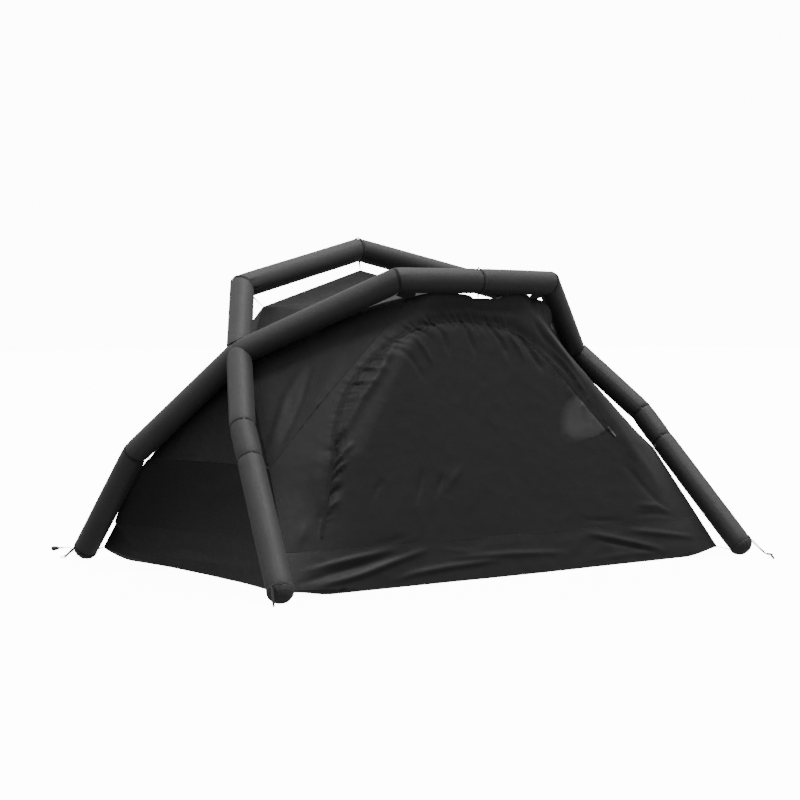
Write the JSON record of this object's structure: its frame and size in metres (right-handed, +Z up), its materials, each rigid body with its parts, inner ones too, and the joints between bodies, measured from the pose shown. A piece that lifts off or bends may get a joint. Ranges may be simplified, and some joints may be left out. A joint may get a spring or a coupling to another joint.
{
  "type": "inflatable beam tent",
  "caption": "Low two-person tent: crossing inflated fabric beams outside, a cloth cabin hung inside them on short ties, and a D-shaped zipped door.",
  "frame": {"origin": "on the ground, at the middle of the tent's footprint without its free cords", "axes": "+X to the right for someone facing the door, -Y out of the door, +Z up"},
  "size_m": [2.464, 2.0352, 1.3528],
  "materials": {
    "beam_cloth": "coated woven polyester, slight sheen",
    "cabin_cloth": "fine matt nylon ripstop",
    "tub_cloth": "coated nylon with a soft sheen",
    "bladder": "smooth welded film",
    "valve_plastic": "moulded, satin",
    "webbing": "woven tape, matt",
    "zip": "moulded coil on woven tape",
    "zip_metal": "black lacquered die casting",
    "cord": "braided",
    "toggle": "moulded, satin"
  },
  "bodies": {
    "tent": {"back_leg_sleeve_left": "beam_cloth", "back_leg_sleeve_right": "beam_cloth", "front_arch_haunch_left": "beam_cloth", "front_arch_haunch_right": "beam_cloth", "front_ridge_sleeve_left": "beam_cloth", "front_ridge_sleeve_right": "beam_cloth", "front_leg_lower_sleeve_left": "beam_cloth", "front_leg_lower_sleeve_right": "beam_cloth", "front_leg_upper_sleeve_left": "beam_cloth", "front_leg_upper_sleeve_right": "beam_cloth", "back_arch_haunch_left": "beam_cloth", "back_arch_haunch_right": "beam_cloth", "back_ridge_sleeve_left": "beam_cloth", "back_ridge_sleeve_right": "beam_cloth", "foot_cap_front_left": "beam_cloth", "foot_cap_front_right": "beam_cloth", "foot_cap_back_left": "beam_cloth", "foot_cap_back_right": "beam_cloth", "front_arch_bladder": "bladder", "back_arch_bladder": "bladder", "front_leg_bladder_left": "bladder", "front_leg_bladder_right": "bladder", "chamber_pipe_left": "valve_plastic", "chamber_pipe_right": "valve_plastic", "leg_valve_body": "valve_plastic", "ridge_valve_body": "valve_plastic", "front_ridge_strap": "webbing", "back_ridge_strap": "webbing", "crossing_tie_left": "webbing", "crossing_tie_right": "webbing", "roof_front_tie_left": "webbing", "roof_front_tie_right": "webbing", "roof_back_tie_left": "webbing", "roof_back_tie_right": "webbing", "front_leg_tie_left": "webbing", "front_leg_tie_right": "webbing", "back_leg_tie_left": "webbing", "back_leg_tie_right": "webbing", "foot_strap_front_left": "webbing", "foot_strap_front_right": "webbing", "foot_strap_back_left": "webbing", "foot_strap_back_right": "webbing", "front_wall": "cabin_cloth", "side_wall_left": "cabin_cloth", "side_wall_right": "cabin_cloth", "front_shoulder_left": "cabin_cloth", "front_shoulder_right": "cabin_cloth", "back_wall": "cabin_cloth", "roof_panel": "cabin_cloth", "tub_floor": "tub_cloth", "zip_tape_wall": "zip", "foot_cord_front_right": "cord", "guy_cord_back_left": "cord", "guy_toggle_back_left": "toggle"},
    "door": {"door_panel": "cabin_cloth", "zip_tape_door": "zip"},
    "slider": {"zip_slider": "zip_metal"},
    "pull": {"zip_pull": "webbing"},
    "leg_cap": {"leg_valve_cap": "valve_plastic"},
    "ridge_cap": {"ridge_valve_cap": "valve_plastic"}
  },
  "joints": [
    {"name": "door_fold", "type": "hinge", "parent": "tent", "child": "door", "pos_m": [-0.893, -0.6473, 0.19], "axis": [0.9724, 0.0625, 0.2248], "range_deg": [0, 110]},
    {"name": "zip_slide", "type": "slide", "parent": "tent", "child": "slider", "axis": [-0.6325, 0.2075, 0.7463], "range_m": [0, 0.3]},
    {"name": "pull_hinge", "type": "hinge", "parent": "slider", "child": "pull", "pos_m": [0.57607, -0.55675, 0.53598], "axis": [-0.7746, -0.1694, -0.6094], "range_deg": [0, 90]},
    {"name": "leg_cap_pull_off", "type": "slide", "parent": "tent", "child": "leg_cap", "axis": [-0.0004, 0.6933, 0.7206], "range_m": [0, 0.02]},
    {"name": "ridge_cap_pull_off", "type": "slide", "parent": "tent", "child": "ridge_cap", "axis": [0.3065, 0.8829, 0.3556], "range_m": [0, 0.02]}
  ]
}
